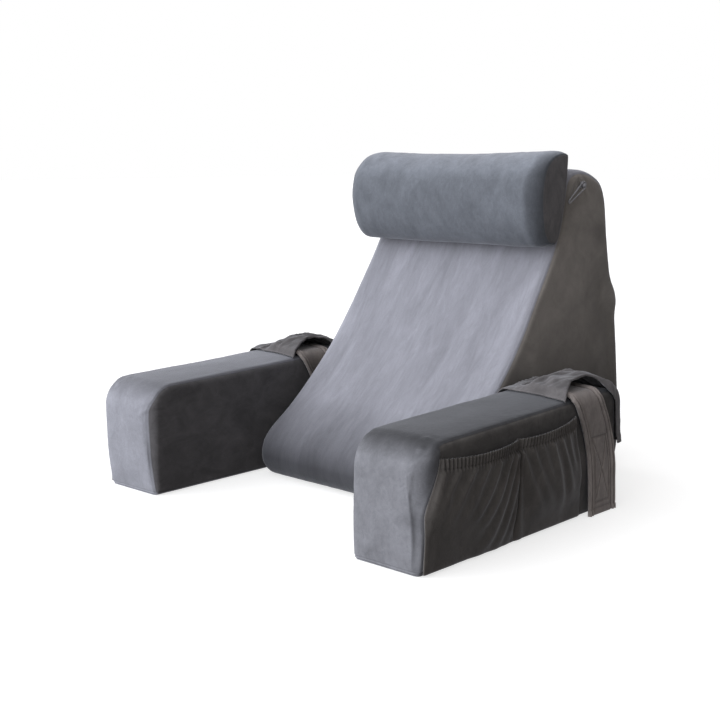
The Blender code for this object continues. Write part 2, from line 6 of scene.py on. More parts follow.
import bpy
import numpy as np
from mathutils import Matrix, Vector


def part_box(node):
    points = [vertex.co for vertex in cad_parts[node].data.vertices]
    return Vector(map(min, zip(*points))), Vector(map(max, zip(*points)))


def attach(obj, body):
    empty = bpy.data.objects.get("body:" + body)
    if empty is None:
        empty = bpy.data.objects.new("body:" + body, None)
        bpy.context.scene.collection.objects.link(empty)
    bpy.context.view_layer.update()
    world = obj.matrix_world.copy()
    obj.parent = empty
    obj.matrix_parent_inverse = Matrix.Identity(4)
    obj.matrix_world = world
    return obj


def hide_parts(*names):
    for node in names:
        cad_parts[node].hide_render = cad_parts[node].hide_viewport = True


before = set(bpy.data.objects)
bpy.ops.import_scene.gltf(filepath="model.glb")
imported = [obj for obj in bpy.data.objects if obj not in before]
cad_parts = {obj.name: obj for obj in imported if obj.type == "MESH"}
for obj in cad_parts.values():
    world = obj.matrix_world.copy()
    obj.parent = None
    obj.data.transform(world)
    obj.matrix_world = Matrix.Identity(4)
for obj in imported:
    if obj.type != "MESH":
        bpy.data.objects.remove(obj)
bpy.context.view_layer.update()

# ---------------- sizes
# Those that the CAD model has too are the same there, unless a comment gives its value.
SEWN_GAP = 0.0004
DRAPE_GAP = 0.0022

WEDGE_X = 0.0054
WEDGE_HALF_WIDTH = 0.247
WEDGE_TAPER = 0.020
WEDGE_EDGE = 0.018
WEDGE_SIDE_CROWN = 0.002
WEDGE_FACE_CROWN = 0.005
WEDGE_SPACING = 0.0055  # of its mesh
WEDGE_HEEL = 0.006  # how far the foot of its back stands out (CAD: 0)
HANGER_X = 0.236
WEDGE_OUTLINE = (  # (y, z) from the floor under the toe, up the front, down the back
    (-0.090, 0.000), (-0.118, 0.000), (-0.146, 0.006), (-0.164, 0.028), (-0.165, 0.060),
    (-0.146, 0.094), (-0.080, 0.148), (-0.020, 0.202), (0.036, 0.262), (0.084, 0.325),
    (0.126, 0.390), (0.164, 0.448), (0.197, 0.510), (0.214, 0.570), (0.226, 0.610),
    (0.253, 0.628), (0.300, 0.627), (0.346, 0.608), (0.368, 0.569), (0.376, 0.500),
    (0.392, 0.390), (0.408, 0.260), (0.418, 0.130), (0.421, 0.085), (0.418, 0.048),
    (0.408, 0.022), (0.388, 0.005), (0.362, 0.000), (0.330, 0.000),
)
NECK_HALF_LENGTH = 0.247
NECK_EDGE = 0.030
NECK_END_DRAW = (0.37, 0.11)
NECK_END_CROWN = 0.004
NECK_SAG = 0.006
NECK_BACK_MIDDLE = (0.194, 0.578)
NECK_OUTLINE = (  # (y, z) from the bottom of the flat back round the front
    (0.170, 0.490), (0.155, 0.482), (0.131, 0.486), (0.108, 0.511), (0.095, 0.553),
    (0.095, 0.596), (0.111, 0.633), (0.143, 0.657), (0.180, 0.667), (0.204, 0.666),
    (0.210, 0.655), NECK_BACK_MIDDLE,
)
NECK_BOTTOM = min(z for _, z in NECK_OUTLINE)
NECK_TOP = max(z for _, z in NECK_OUTLINE)
ARM_LENGTH = 0.560
ARM_WIDTH = 0.157
ARM_HEIGHT = 0.213
ARM_RISE = 0.016
ARM_EDGE = 0.013
ARM_FOOT_TAPER = 0.008
ARM_FRONT_CORNER = 0.056
ARM_FRONT_ROUND = 0.010
ARM_REAR_CORNER = 0.030
ARM_REAR_BULGE = 0.016
ARM_SIDE_CROWN = 0.0025
ARM_FACE_CROWN = 0.004
ARM_FRONT_Y = -0.4185
ARM_TURN = math.radians(1.5)
ARMS = (  # side, sign, inner x, extra roundness of the +X front edge, lean
    ("right", 1.0, 0.2754, 0.020, 0.0),
    ("left", -1.0, -0.2584, 0.010, -0.050),  # CAD: inner x -0.2556, lean -0.042
)
CORNER_TUCKS = (  # start back and down, end inward, back and down, and height
    (0.040, 0.030, 0.022, 0.020, 0.014, 0.0034),
    (0.050, 0.022, 0.030, 0.044, 0.002, 0.0026),
    (0.030, 0.036, 0.030, 0.004, 0.046, -0.0016),
)
FRONT_ROUND_POWER = 2.6  # how the +X front edge's rounding dies away (CAD: a circle)

POCKET_BOTTOM = 0.005
POCKET_TOP = 0.190
POCKET_TOP_RISE = 0.009
POCKET_SAGS = (0.003, 0.001)  # CAD: 0.012, 0.004
POCKET_SEAMS = (0.006, 0.243, 0.449)
POCKET_SLANTS = (0.030, -0.014, -0.032)
POCKET_SLANT_FROM = (0.090, 0.0, 0.0)
POCKET_SLANT_TO = 0.21
POCKET_CLOTH = 0.0020  # CAD: 0.0024
POCKET_BAND = 0.016
POCKET_GAPE = 0.021
RIB_PITCH = 0.0074  # of the gathers in the elastic band
RIB_HEIGHT = 0.0014
FOLD_GAIN = 1.9
# Folds of each compartment: where each starts, bends and ends, as shares of its length and
# height, and how high it stands before FOLD_GAIN.
POCKET_FOLDS = (
    (
        ((0.05, 0.90), (0.04, 0.72), (0.05, 0.55), 0.0016),
        ((0.19, 0.90), (0.13, 0.70), (0.10, 0.48), 0.0018),
        ((0.35, 0.90), (0.27, 0.66), (0.20, 0.42), 0.0018),
        ((0.52, 0.91), (0.44, 0.70), (0.34, 0.40), 0.0016),
        ((0.70, 0.92), (0.58, 0.64), (0.43, 0.36), 0.0022),
        ((0.86, 0.93), (0.72, 0.60), (0.53, 0.26), 0.0024),
        ((0.96, 0.93), (0.78, 0.48), (0.60, 0.02), 0.0030),
        ((0.98, 0.70), (0.89, 0.36), (0.76, 0.00), 0.0026),
        ((0.99, 0.50), (0.96, 0.25), (0.90, 0.00), 0.0018),
    ),
    (
        ((0.02, 0.92), (0.12, 0.60), (0.34, 0.20), 0.0026),
        ((0.14, 0.92), (0.29, 0.55), (0.46, 0.24), 0.0022),
        ((0.28, 0.91), (0.38, 0.62), (0.50, 0.44), 0.0016),
        ((0.42, 0.91), (0.53, 0.56), (0.64, 0.20), 0.0024),
        ((0.58, 0.90), (0.70, 0.58), (0.82, 0.26), 0.0022),
        ((0.72, 0.90), (0.79, 0.66), (0.86, 0.46), 0.0016),
        ((0.88, 0.90), (0.94, 0.62), (0.96, 0.28), 0.0018),
        ((0.03, 0.46), (0.04, 0.24), (0.08, 0.00), 0.0016),
    ),
)

STRAP_WIDTH = 0.089
STRAP_START = 0.466
STRAP_SWAY = 0.060
STRAP_REACH = 0.060
STRAP_TURN = 0.25
STRAP_THICKNESS = 0.0045
STRAP_CORD = 0.0032  # CAD: 0.0028
STRAP_CORDS = (0.0034, 0.0108)  # their distances from the strap's edge
STRAP_GROOVES = (0.0071, 0.0150)
STITCH_BOX = (0.024, 0.150)  # lowest and highest line of the stitched box
STITCH_SHARES = (0.24, 0.76)
STITCH_DEPTH = 0.0032
STRAP_FLARE = 0.004

HOOD_START = 0.388
HOOD_OFF = ARM_FACE_CROWN + DRAPE_GAP
HOOD_FLAT = ARM_LENGTH - ARM_REAR_CORNER - HOOD_START  # its run before the rear corner
HOOD_BEND = 0.5 * math.pi * (ARM_REAR_CORNER + HOOD_OFF)  # and round it
HOOD_SLANT = 0.018
HOOD_HEM = 0.125
HOOD_BELL_START = 0.392
HOOD_BEHIND = (0.500, 0.535)  # where it comes down behind the strap
HOOD_CLOTH = 0.0020  # CAD: 0.0024
HOOD_LIFT = 0.015
HOOD_FALL = 0.008
HOOD_SHORT = 0.024
HOOD_LIP = 0.007  # how far its free edge stays inside the arm (CAD: 0.010 past it, behind)
HOOD_TAIL = 0.020
HOOD_CREASE = 0.0014  # CAD: 0.0015

ZIP_Z = 0.366
ZIP_HALF_LENGTH = 0.226
ZIP_END_LIFT = 0.009
ZIP_THICKNESS = 0.0016

LATTICE_SIZE = 32
LATTICE = np.random.default_rng(11).random((LATTICE_SIZE,) * 3)


# ---------------- curves and fields
def ramp(value, start, end):
    """0 before start, 1 after end, and smooth between them."""
    share = np.clip((value - start) / (end - start), 0.0, 1.0)
    return share * share * (3.0 - 2.0 * share)


def hump(share, power=1.0):
    """0 at both ends of 0..1 and 1 in the middle."""
    return np.sin(np.pi * np.clip(share, 0.0, 1.0)) ** power


def line(distance, width):
    """1 on a line and 0 a few widths away from it."""
    return np.exp(-((distance / width) ** 2))


def stacked(*axes):
    """Points from their x, y and z, as arrays or single numbers."""
    return np.stack(np.broadcast_arrays(*axes), axis=-1)


def noise(points, size, seed=0):
    """Smooth noise from -1 to 1 that changes over size metres along each axis."""
    place = np.asarray(points, dtype=float) / np.asarray(size) + 7.31 * seed + 50.0
    cell = np.floor(place).astype(int)
    part = place - cell
    part = part * part * (3.0 - 2.0 * part)
    total = np.zeros(place.shape[:-1])
    for corner in itertools.product((0, 1), repeat=3):
        weight = np.ones(place.shape[:-1])
        for axis, end in enumerate(corner):
            weight = weight * (part[..., axis] if end else 1.0 - part[..., axis])
        i, j, k = ((cell[..., axis] + corner[axis]) % LATTICE_SIZE for axis in range(3))
        total += weight * LATTICE[i, j, k]
    return 2.0 * total - 1.0


def noise_along(value, size, seed=0):
    """The same in one dimension."""
    return noise(stacked(value, 0.0, 0.0), (size, 1.0, 1.0), seed)


def smooth_loop(points, steps):
    """A closed curve through the points, kept on or above the floor."""
    points = np.array(points)
    count = len(points)
    curve = []
    for i in range(count):
        before, start, end, after = (points[(i + k - 1) % count] for k in range(4))
        if start[1] == 0.0 and end[1] == 0.0:
            curve.append(start)
            continue
        for k in range(steps):
            t = k / steps
            curve.append(0.5 * (
                2.0 * start + (end - before) * t
                + (2.0 * before - 5.0 * start + 4.0 * end - after) * t * t
                + (3.0 * start - before - 3.0 * end + after) * t ** 3
            ))
    curve = np.array(curve)
    curve[:, 1] = np.maximum(curve[:, 1], 0.0)
    return curve


def even(curve, spacing):
    """A closed (y, z) curve in even steps, three times finer just above the floor."""
    closed = np.vstack([curve, curve[:1]])
    step = np.linalg.norm(np.diff(closed, axis=0), axis=1)
    height = 0.5 * (closed[1:, 1] + closed[:-1, 1])
    fine = 1.0 + 2.0 * (1.0 - ramp(height, 0.012, 0.03)) * (height > 1e-4)
    run = np.concatenate([[0.0], np.cumsum(step * fine)])
    count = int(run[-1] / spacing)
    at = np.arange(count) / count * run[-1]
    return np.column_stack([np.interp(at, run, closed[:, k]) for k in (0, 1)])


def arc(centre, radius, start, end, steps):
    """Points on a circle from one angle to another, in degrees."""
    angle = np.radians(np.linspace(start, end, steps + 1))
    return [(centre[0] + radius * math.cos(a), centre[1] + radius * math.sin(a)) for a in angle]


# ---------------- meshes
def make_piece(name, verts, faces, material):
    mesh = bpy.data.meshes.new(name)
    mesh.from_pydata([tuple(v) for v in verts], [], faces)
    mesh.materials.append(material)
    mesh.shade_smooth()
    piece = bpy.data.objects.new(name, mesh)
    bpy.context.collection.objects.link(piece)
    return piece


def vertex_normals(mesh):
    flat = np.zeros(3 * len(mesh.vertices))
    mesh.vertex_normals.foreach_get("vector", flat)
    return flat.reshape(-1, 3)


def inset_curve(curve, normal, inset):
    """A closed curve moved inwards. Points that a tight corner would carry across the curve's
    other parts end up nearer to it than inset, and are put back on the line between the rest."""
    tolerance = 0.985
    moved = curve - normal * inset
    nearest = np.linalg.norm(moved[:, None] - curve[None], axis=-1).min(axis=1)
    kept = nearest > tolerance * inset - 1e-6
    count = len(curve)
    places = np.flatnonzero(np.tile(kept, 3))
    at = np.arange(count) + count
    tiled = np.tile(moved, (3, 1))[places]
    return np.column_stack([np.interp(at, places, tiled[:, k]) for k in (0, 1)])


SPACING = 0.0040  # of the other cushions' meshes
EDGE_STEPS = 10
END_RINGS = np.concatenate([np.linspace(0.06, 0.90, 22), np.linspace(0.915, 0.99, 11)])


def cushion(name, outline, x_low, x_high, edge, crown, material, side, relief, spacing,
            seam_share=0.8, draw_to=None, border=None, place=None):
    """A filled cover: a strip carried across from x_low to x_high, rounded over by edge into an
    end panel at each side. side(x, y, z) gives a point's final x, and relief(points, seam, run)
    how far each point stands out, where seam is its distance from the seam, less than 0 on the
    end panel, and run is its place along the outline. seam_share places the seam on the rounded
    edge, and border(points, seam) moves it elsewhere. draw_to is a point that the outline is
    drawn in towards over the rounded edge, instead of moving straight inwards. place(points)
    puts the finished cover where it belongs. The mesh keeps seam for its material."""
    curve = even(smooth_loop(outline, 12), spacing)
    along = np.roll(curve, -1, axis=0) - np.roll(curve, 1, axis=0)
    normal = np.column_stack([-along[:, 1], along[:, 0]])
    normal /= np.linalg.norm(normal, axis=1)[:, None]
    centre = np.mean(np.array(outline), axis=0)
    run = np.concatenate([[0.0], np.cumsum(np.linalg.norm(np.diff(curve, axis=0), axis=1))])

    seam_at = seam_share * edge
    low = [(x_low, edge, ring, -seam_at) for ring in END_RINGS]
    for k in range(EDGE_STEPS + 1):
        angle = 0.5 * math.pi * k / EDGE_STEPS
        x = x_low + edge * (1.0 - math.cos(angle))
        low.append((x, edge * (1.0 - math.sin(angle)), 1.0, edge * angle - seam_at))
    width = x_high - x_low - 2.0 * edge
    cells = int(width / spacing)
    arc_end = 0.5 * math.pi * edge - seam_at
    middle = []
    for k in range(1, cells):
        x = width * k / cells
        middle.append((x_low + edge + x, 0.0, 1.0, arc_end + min(x, width - x)))
    high = [(x_low + x_high - x, inset, ring, seam) for x, inset, ring, seam in reversed(low)]
    rows = np.array(low + middle + high)

    x, inset, ring, seam = (rows[:, k][:, None] for k in range(4))
    off_centre = (x - 0.5 * (x_low + x_high)) / (0.5 * (x_high - x_low))
    above_floor = ramp(curve[:, 1], 0.0, 0.05)[None, :]
    out = crown * (1.0 - off_centre ** 2) * above_floor
    if draw_to is None:
        drawn = np.stack([inset_curve(curve, normal, value) for value in inset[:, 0]])
        flat = drawn + normal[None] * out[..., None]
    else:
        inward = (np.array(draw_to) - curve) * np.array(NECK_END_DRAW)
        inward = inward[None] * (inset / edge)[..., None]
        flat = curve[None] + normal[None] * out[..., None] + inward
    boundary = flat
    flat = centre + (flat - centre) * ring[..., None]
    seam = seam - np.linalg.norm(flat - boundary, axis=-1)
    on_floor = (curve[:, 1] == 0.0)[None] & (ring == 1.0) & (inset == 0.0)
    flat[..., 1] = np.where(on_floor, 0.0, flat[..., 1])
    points = stacked(x, flat[..., 0], flat[..., 1])
    points[..., 0] = side(points[..., 0], points[..., 1], points[..., 2])

    count, size = points.shape[:2]
    tips = np.array([[x_low, *centre], [x_high, *centre]])
    tips[:, 0] = side(tips[:, 0], tips[:, 1], tips[:, 2])
    verts = np.vstack([points.reshape(-1, 3), tips])
    pairs = [(i, (i + 1) % size) for i in range(size)]
    faces = []
    for base in range(0, (count - 1) * size, size):
        faces += [(base + i, base + j, base + size + j, base + size + i) for i, j in pairs]
    last = (count - 1) * size
    faces += [(j, i, count * size) for i, j in pairs]
    faces += [(last + i, last + j, count * size + 1) for i, j in pairs]
    piece = make_piece(name, verts, faces, material)
    normals = vertex_normals(piece.data)
    if np.sum(normals * (verts - verts.mean(axis=0))) < 0.0:
        piece.data.flip_normals()
        normals = -normals
    body = verts[:-2].reshape(count, size, 3)
    if border is not None:
        seam = border(body, seam)
    stand = relief(body, seam, np.broadcast_to(run, seam.shape))
    stand = stand * ramp(body[..., 2], 0.0, 0.006)
    moved = body + normals[:-2].reshape(count, size, 3) * stand[..., None]
    tips = np.array([moved[0].mean(axis=0), moved[-1].mean(axis=0)])
    verts = np.vstack([moved.reshape(-1, 3), tips])
    field = piece.data.attributes.new("seam", "FLOAT", "POINT")
    field.data.foreach_set("value", np.append(seam.ravel(), [seam.min(), seam.min()]))
    verts[:, 2] = np.maximum(verts[:, 2], 0.0)
    if place is not None:
        verts = place(verts)
    piece.data.vertices.foreach_set("co", verts.ravel())
    piece.data.update()
    return piece


def sheet(name, inner, outer, material):
    """A closed thin solid between two grids of points with the same rows."""
    rows, columns = inner.shape[:2]
    verts = np.vstack([inner.reshape(-1, 3), outer.reshape(-1, 3)])
    base = rows * columns
    faces = []
    for i in range(rows - 1):
        for j in range(columns - 1):
            a = i * columns + j
            quad = (a, a + 1, a + columns + 1, a + columns)
            faces.append(quad)
            faces.append(tuple(base + v for v in reversed(quad)))
    rim = list(range(columns))
    rim += [i * columns + columns - 1 for i in range(1, rows)]
    rim += [(rows - 1) * columns + j for j in range(columns - 2, -1, -1)]
    rim += [i * columns for i in range(rows - 2, 0, -1)]
    faces += [(b, a, base + a, base + b) for a, b in zip(rim, rim[1:] + rim[:1])]
    piece = make_piece(name, verts, faces, material)
    normals = vertex_normals(piece.data)
    out = (outer - inner).reshape(-1, 3)
    if np.sum(normals[base:] * out) < 0.0:
        piece.data.flip_normals()
    piece.data.update()
    return piece


# ---------------- materials
# The spans and heights below place the light and shade painted into the velvets' colour.
FACES_UP = (0.35, 0.92)  # spans of the world normal's z, of its x either way, and of its y
FACES_SIDEWAYS = (0.15, 0.75)
FACES_FRONT = (0.10, -0.25)
TOE_HEIGHTS = (0.165, 0.045)
PANEL_HEIGHTS = (0.15, 0.58)
PILE_SIZE = 0.0012
SEAM_BLUR = 0.0007
SEAM_HIGHLIGHT_REACH = 0.0022  # how far from a seam the painted highlight reaches


class Nodes:
    """A node tree whose nodes are made and joined by short calls."""

    def __init__(self, tree):
        self.tree = tree

    def add(self, kind, inputs=(), output=0, **settings):
        """Makes a node, sets or links its inputs, and returns one of its outputs."""
        node = self.tree.nodes.new("ShaderNode" + kind)
        for key, value in settings.items():
            setattr(node, key, value)
        for key, value in dict(inputs).items():
            self.join(value, node.inputs[key])
        return node.outputs[output]

    def join(self, value, socket):
        if isinstance(value, bpy.types.NodeSocket):
            self.tree.links.new(value, socket)
        else:
            socket.default_value = value

    def span(self, value, low, high, to_low=0.0, to_high=1.0, interpolation="LINEAR"):
        """Carries low..high over to to_low..to_high, and holds it there outside them."""
        inputs = {"Value": value, "From Min": low, "From Max": high, "To Min": to_low,
                  "To Max": to_high}
        return self.add("MapRange", inputs, interpolation_type=interpolation)

    def math(self, operation, first, second=0.0):
        return self.add("Math", {0: first, 1: second}, operation=operation)

    def times(self, first, *others):
        for other in others:
            first = self.math("MULTIPLY", first, other)
        return first

    def noise(self, place, size, detail=4.0, roughness=0.6, distortion=0.0):
        inputs = {"Vector": place, "Scale": 1.0 / size, "Detail": detail, "Roughness": roughness,
                  "Distortion": distortion}
        return self.add("TexNoise", inputs)

    def mix(self, share, first, second, blend_type="MIX"):
        """Mixes two colours, each one a socket or its red, green and blue."""
        node = self.tree.nodes.new("ShaderNodeMix")
        node.data_type = "RGBA"
        node.blend_type = blend_type
        self.join(share, next(socket for socket in node.inputs if socket.name == "Factor"))
        colours = {socket.name: socket for socket in node.inputs if socket.type == "RGBA"}
        for key, value in (("A", first), ("B", second)):
            linked = isinstance(value, bpy.types.NodeSocket)
            self.join(value if linked else (*value, 1.0), colours[key])
        return next(socket for socket in node.outputs if socket.type == "RGBA")

    def tinted(self, colour, tone):
        """The colour times a grey tone."""
        grey = self.add("CombineColor", {0: tone, 1: tone, 2: tone})
        return self.mix(1.0, colour, grey, "MULTIPLY")


class Shader(Nodes):
    """A Principled material."""

    def __init__(self, name, **settings):
        self.material = bpy.data.materials.new(name)
        self.material.use_nodes = True
        super().__init__(self.material.node_tree)
        self.main = self.tree.nodes["Principled BSDF"]
        self.set(**settings)

    def set(self, **settings):
        """Sets or links its main sockets, named with _ for spaces."""
        for key, value in settings.items():
            self.join(value, self.main.inputs[key.replace("_", " ")])

    def bump(self, height, strength, distance):
        inputs = {"Strength": strength, "Distance": distance, "Height": height}
        self.set(Normal=self.add("Bump", inputs))


def painted_shading_by_facing(shader, place, toe, top, flank):
    """Painted light and shade: the strip's tone by the way it faces, set by toe low down in front,
    by top where it faces up and by flank where it turns sideways. The values are fitted to the
    photo's light."""
    normal = shader.add("SeparateXYZ", {0: shader.add("NewGeometry", output="Normal")}).node
    height = shader.add("SeparateXYZ", {0: place}, "Z")
    upward = shader.span(normal.outputs["Z"], *FACES_UP, 1.0, top)
    sideways = shader.math("ABSOLUTE", normal.outputs["X"])
    sideways = shader.span(sideways, *FACES_SIDEWAYS, 1.0, flank)
    low = shader.span(height, *TOE_HEIGHTS, 0.0, 1.0 - toe)
    low = shader.times(low, shader.span(normal.outputs["Y"], *FACES_FRONT))
    return shader.times(upward, sideways, shader.math("SUBTRACT", 1.0, low))


def end_panel(shader, place, drawn, nap, panel, climb):
    """The end panel's smudged colour, with light and shade painted from one value of climb at its
    foot to the other above.
    """
    height = shader.add("SeparateXYZ", {0: place}, "Z")
    smudge = shader.noise(drawn, 0.8 * nap, 4.0, 0.6, 1.0)
    smudge = shader.span(smudge, 0.30, 0.70, 0.78, 1.24)
    # painted light and shade: the panel's tone changes with height from one climb value to the
    # other
    lit = shader.span(height, *PANEL_HEIGHTS, *climb)
    return shader.tinted(panel, shader.times(smudge, lit))


def velvet(name, strip, panel, nap, streak, contrast, toe=1.0, top=1.0, flank=1.0,
           climb=(1.0, 1.0), sheen=0.30):
    """Short-pile velvet, strip on a cover's front strip and panel on its ends. Patches of pile
    nap across that lie another way are lighter or darker by contrast, and streak says how they
    are drawn out along each axis. The mesh's seam attribute parts the strip from the panel. A
    panel colour darker than the strip's is partly pile that lies another way and partly painted
    shade on ends that turn from the light."""
    shader = Shader(name, Roughness=0.88, Specular_IOR_Level=0.15)
    shader.set(Sheen_Weight=sheen, Sheen_Roughness=0.40, Sheen_Tint=(0.84, 0.86, 0.93, 1.0))
    place = shader.add("TexCoord", output="Object")
    drawn = shader.add("Mapping", {"Vector": place, "Scale": streak})
    broad = shader.noise(drawn, nap, 4.0, 0.58, 0.5)
    stroke = shader.noise(drawn, 0.22 * nap, 5.0, 0.66, 1.2)
    pile = shader.noise(place, PILE_SIZE, 2.0, 0.5)
    # painted highlight on convex edges and ridges, and painted shade in creases and hollows
    edge_highlight_crease_shade = shader.add("NewGeometry", output="Pointiness")
    tone = shader.times(
        shader.span(broad, 0.32, 0.68, 1.0 - contrast, 1.0 + contrast),
        shader.span(stroke, 0.30, 0.70, 1.0 - 0.7 * contrast, 1.0 + 0.7 * contrast),
        shader.span(pile, 0.25, 0.75, 0.90, 1.10),
        shader.span(edge_highlight_crease_shade, 0.44, 0.56, 0.70, 1.30),
    )
    # painted light and shade on the strip by the way it faces and how low it lies
    base = shader.tinted(strip, painted_shading_by_facing(shader, place, toe, top, flank))
    if panel is not None:
        seam = shader.add("Attribute", output="Fac", attribute_name="seam")
        share = shader.span(seam, -SEAM_BLUR, SEAM_BLUR)
        base = shader.mix(share, end_panel(shader, place, drawn, nap, panel, climb), base)
        # painted highlight: the pile lighter along each seam
        seam_highlight = shader.span(shader.math("ABSOLUTE", seam), 0.0, SEAM_HIGHLIGHT_REACH, 1.16, 1.0)
        tone = shader.times(tone, seam_highlight)
    shader.set(Base_Color=shader.tinted(base, tone))
    fuzz = shader.add("Math", {0: pile, 1: 0.25, 2: stroke}, operation="MULTIPLY_ADD")
    shader.bump(fuzz, 0.55, 0.0010)
    return shader.material


def woven(name, colour, pitch):
    """Fine woven tape or cord."""
    shader = Shader(name, Roughness=0.82)
    place = shader.add("TexCoord", output="Object")
    inputs = {"Vector": place, "Scale": 1.0 / pitch, "Distortion": 1.0, "Detail": 2.0}
    ribs = shader.add("TexWave", inputs, "Fac", wave_type="BANDS", bands_direction="DIAGONAL")
    dirt = shader.noise(place, 0.012)
    tone = shader.times(
        shader.span(ribs, 0.0, 1.0, 0.72, 1.15), shader.span(dirt, 0.3, 0.7, 0.88, 1.12)
    )
    shader.set(Base_Color=shader.tinted(colour, tone))
    shader.bump(ribs, 0.6, 0.0004)
    return shader.material


def metal(name, colour):
    """Satin metal with fine scratches."""
    shader = Shader(name, Metallic=0.9)
    place = shader.add("TexCoord", output="Object")
    drawn = shader.add("Mapping", {"Vector": place, "Scale": (1.0, 1.0, 0.15)})
    scratch = shader.noise(drawn, 0.0006, 4.0, 0.7)
    darker = [0.7 * c for c in colour]
    shader.set(Base_Color=shader.mix(shader.span(scratch, 0.3, 0.7), colour, darker))
    shader.set(Roughness=shader.span(scratch, 0.3, 0.7, 0.28, 0.48))
    shader.bump(scratch, 0.3, 0.0002)
    return shader.material


# ---------------- folds and seams
def seam_relief(seam, run, depth=0.0012, width=0.0014, pucker=0.0008, pitch=0.022, seed=1):
    """A sewn seam: a groove, low ridges beside it, and small puckers that run off it."""
    groove = -depth * line(seam, width)
    ridge = 0.7 * depth * line(seam - 2.4 * width, 1.3 * width)
    strength = 0.5 + 0.5 * noise_along(run, 0.09, seed)
    wave = noise_along(run, 0.5 * pitch, seed + 1)
    return groove + ridge + pucker * strength * wave * np.exp(-np.abs(seam) / 0.014)


def crease(points, start, end, height, width):
    """One soft fold along a straight line that fades towards both its ends."""
    start, end = np.array(start), np.array(end)
    way = end - start
    length = np.linalg.norm(way)
    share = np.clip(((points - start) @ way) / length ** 2, 0.0, 1.0)
    gap = np.linalg.norm(points - start - share[..., None] * way, axis=-1)
    crest = line(gap, width) - 0.45 * line(gap - 2.2 * width, 1.4 * width)
    return height * crest * hump(0.08 + 0.84 * share, 0.8)


# ---------------- wedge and neck pillow
def wedge_side(x, _, z):
    """The wedge narrows upwards, and its sides crown a little."""
    share = np.abs(x) / WEDGE_HALF_WIDTH
    bulge = WEDGE_SIDE_CROWN * hump(ramp(z, 0.0, 0.6)) * ramp(share, 0.85, 1.0)
    return x / WEDGE_HALF_WIDTH * (WEDGE_HALF_WIDTH - WEDGE_TAPER * z + bulge)


def zip_lift(x, y, z):
    """The back pushed out by the zip's loose end, and drawn in along its tape."""
    tent = line(z - ZIP_Z, 0.030) * ramp(y, 0.33, 0.37)
    tent = ZIP_END_LIFT * tent * ramp(x, 0.165, ZIP_HALF_LENGTH)
    return tent - 0.0012 * line(z - ZIP_Z, 0.012) * ramp(y, 0.37, 0.38)


def hanger_pull(points, side):
    """The dart above a hanger's tab, and the small folds that spread below it."""
    x = side * HANGER_X
    folds = -crease(points, (x, 0.268, 0.628), (x, 0.262, 0.606), 0.0030, 0.0022)
    for k, lean in enumerate((-0.020, -0.008, 0.009, 0.022)):
        top = (x, 0.264 + 0.3 * lean, 0.618)
        foot = (x, 0.264 + 1.6 * lean, 0.585 - 0.008 * (k % 2))
        folds = folds + crease(points, top, foot, 0.0014, 0.0035)
    return folds


def wedge_relief(points, seam, run):
    x, y, z = (points[..., axis] for axis in range(3))
    strip = ramp(seam, -0.004, 0.03)
    broad = 0.0016 * noise(points, (0.11, 0.16, 0.16), 2)
    fine = 0.0004 * noise(points, (0.014, 0.11, 0.11), 3)
    panel = 0.0012 * noise(points, (0.2, 0.07, 0.10), 4) * (1.0 - strip)
    hung = line(z - 0.585, 0.030) * line(y - 0.245, 0.035)
    panel = panel * (1.0 - hung) - 0.0012 * hung * (1.0 - strip)
    heel = WEDGE_HEEL * ramp(y, 0.36, 0.40) * (1.0 - ramp(z, 0.28, 0.42))
    folds = heel + hanger_pull(points, -1.0) + hanger_pull(points, 1.0)
    return seam_relief(seam, run) + (broad + fine) * strip + panel + zip_lift(x, y, z) + folds


def make_wedge(cloth):
    piece = cushion(
        "wedge_cover", WEDGE_OUTLINE, -WEDGE_HALF_WIDTH, WEDGE_HALF_WIDTH, WEDGE_EDGE,
        WEDGE_FACE_CROWN, cloth, wedge_side, wedge_relief, WEDGE_SPACING, 0.62,
        place=lambda verts: verts + np.array([WEDGE_X, 0.0, 0.0]),
    )
    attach(piece, "root")
    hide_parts("wedge_cushion")


def neck_side(x, _, z):
    """The pillow's end panels crown a little."""
    end = ramp(np.abs(x), NECK_HALF_LENGTH - 0.5 * NECK_EDGE, NECK_HALF_LENGTH)
    rise = hump((z - NECK_BOTTOM) / (NECK_TOP - NECK_BOTTOM))
    return x + np.copysign(NECK_END_CROWN * end * rise, x)


def neck_relief(points, seam, run):
    strip = ramp(seam, -0.002, 0.02)
    broad = 0.0012 * noise(points, (0.07, 0.09, 0.05), 5)
    slant = points + 0.6 * points[..., [2, 2, 0]] * np.array([1.0, 0.0, 0.0])
    fine = 0.0011 * noise(slant, (0.013, 0.05, 0.05), 6) * (0.4 + 0.6 * noise(points, 0.08, 7))
    return seam_relief(seam, run, pucker=0.0006, seed=4) + (broad + fine) * strip


def sag(verts):
    """The neck pillow's top sinks between its ends."""
    middle = 1.0 - (verts[:, 0] / NECK_HALF_LENGTH) ** 2
    upper = ramp(verts[:, 2], 0.5 * (NECK_BOTTOM + NECK_TOP), NECK_TOP)
    lowered = verts.copy()
    lowered[:, 2] -= NECK_SAG * middle * upper
    return lowered + np.array([WEDGE_X, 0.0, 0.0])


def make_neck_pillow(cloth):
    piece = cushion(
        "neck_pillow_cover", NECK_OUTLINE, -NECK_HALF_LENGTH, NECK_HALF_LENGTH, NECK_EDGE,
        0.0, cloth, neck_side, neck_relief, SPACING, 0.18, NECK_BACK_MIDDLE, place=sag,
    )
    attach(piece, "root")
    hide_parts("neck_pillow")


# ---------------- arms and what they carry
def arm_top(along):
    return ARM_HEIGHT + ARM_RISE * along / ARM_LENGTH


